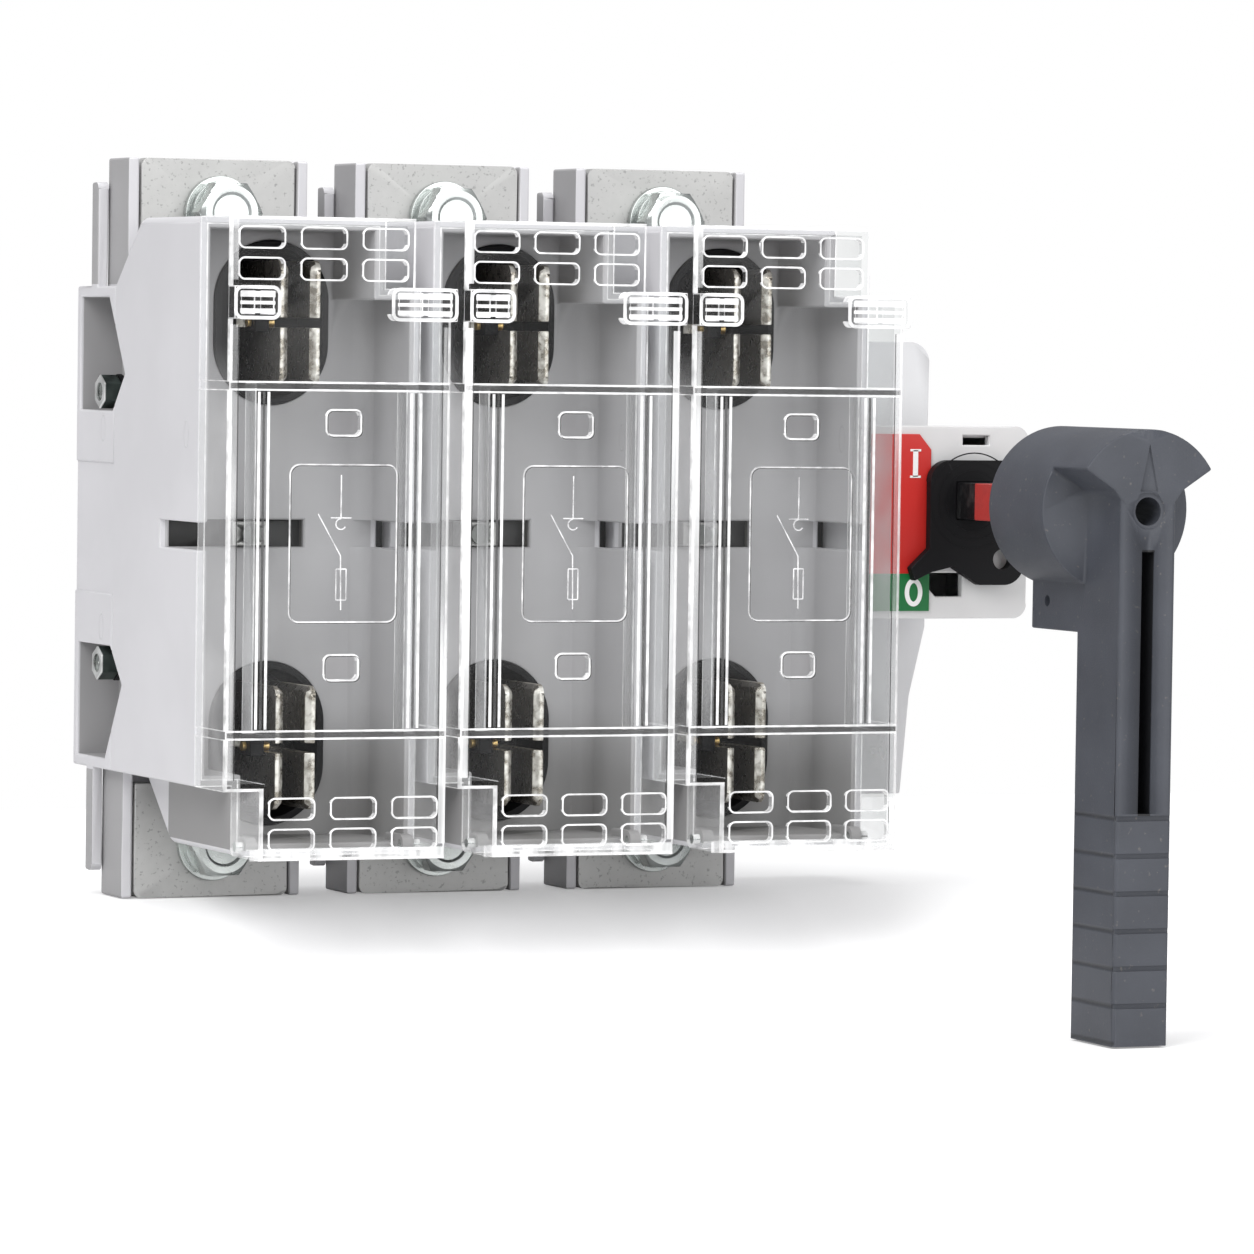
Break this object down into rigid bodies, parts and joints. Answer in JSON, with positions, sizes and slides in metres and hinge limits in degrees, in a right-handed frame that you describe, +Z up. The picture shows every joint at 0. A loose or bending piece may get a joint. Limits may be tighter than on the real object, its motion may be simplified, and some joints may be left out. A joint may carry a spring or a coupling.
{
  "type": "fuse switch disconnector",
  "caption": "Fuse switch disconnector with clear hinged fuse covers, bolted terminals, a position plate and a pistol handle on a square shaft.",
  "frame": {"origin": "middle of the four mounting inserts, on the mounting plane", "axes": "+Z up, front towards -Y, poles side by side along X with the mechanism at +X"},
  "size_m": [0.247, 0.1965, 0.2285],
  "materials": {
    "housing": "light grey moulded",
    "plate_grey": "light grey moulded",
    "clear_cover": "clear polycarbonate",
    "tinned_copper": "tin plated, matte",
    "silvered_copper": "silver plated",
    "black_plastic": "black moulded",
    "zinc_steel": "zinc plated",
    "brass": "plain brass",
    "strip_red": "red",
    "strip_green": "green",
    "black_steel": "black oxide",
    "handle_grey": "fine grain, dark blue grey"
  },
  "bodies": {
    "base": {"contact_shrouds": "black_plastic", "fuse_jaw_lower_1": "silvered_copper", "fuse_jaw_lower_2": "silvered_copper", "fuse_jaw_lower_3": "silvered_copper", "fuse_jaw_upper_1": "silvered_copper", "fuse_jaw_upper_2": "silvered_copper", "fuse_jaw_upper_3": "silvered_copper", "hinge_pins": "zinc_steel", "jaw_pins": "brass", "jaw_screws": "zinc_steel", "jaw_spring_blocks": "black_plastic", "mechanism_case": "housing", "mechanism_plate": "plate_grey", "mounting_inserts": "brass", "pole_base_1": "housing", "pole_base_2": "housing", "pole_base_3": "housing", "pole_housing_1": "housing", "pole_housing_2": "housing", "pole_housing_3": "housing", "position_strip_off": "strip_green", "position_strip_on": "strip_red", "terminal_bolts": "zinc_steel", "terminal_flat_washers": "zinc_steel", "terminal_nuts": "zinc_steel", "terminal_plate_lower_1": "tinned_copper", "terminal_plate_lower_2": "tinned_copper", "terminal_plate_lower_3": "tinned_copper", "terminal_plate_upper_1": "tinned_copper", "terminal_plate_upper_2": "tinned_copper", "terminal_plate_upper_3": "tinned_copper", "terminal_spring_washers": "zinc_steel", "tie_nuts": "zinc_steel", "tie_rods": "zinc_steel", "tie_washers": "zinc_steel"},
    "handle_shaft": {"position_plate": "black_plastic", "crank_disc": "zinc_steel", "crank_pin": "zinc_steel", "drive_shaft": "black_steel", "handle": "handle_grey", "lock_screw": "zinc_steel"},
    "drive": {"drive_bar": "zinc_steel", "drive_screws": "zinc_steel"},
    "cover_1": {"fuse_cover_1": "clear_cover"},
    "cover_2": {"fuse_cover_2": "clear_cover"},
    "cover_3": {"fuse_cover_3": "clear_cover"}
  },
  "joints": [
    {"name": "handle_turn", "type": "hinge", "parent": "base", "child": "handle_shaft", "pos_m": [0.13, -0.09, 0.01], "axis": [0, 1, 0], "range_deg": [0, 90]},
    {"name": "drive_slide", "type": "slide", "parent": "base", "child": "drive", "axis": [1, 0, 0], "range_m": [0, 0.0107]},
    {"name": "cover_1_swing", "type": "hinge", "parent": "base", "child": "cover_1", "pos_m": [-0.065, -0.101, -0.0805], "axis": [1, 0, 0], "range_deg": [0, 90]},
    {"name": "cover_2_swing", "type": "hinge", "parent": "base", "child": "cover_2", "pos_m": [0, -0.101, -0.0805], "axis": [1, 0, 0], "range_deg": [0, 90]},
    {"name": "cover_3_swing", "type": "hinge", "parent": "base", "child": "cover_3", "pos_m": [0.065, -0.101, -0.0805], "axis": [1, 0, 0], "range_deg": [0, 90]}
  ],
  "couplings": [
    {"joint": "drive_slide", "follows": "handle_turn", "m_per_rad": 0.006752}
  ]
}
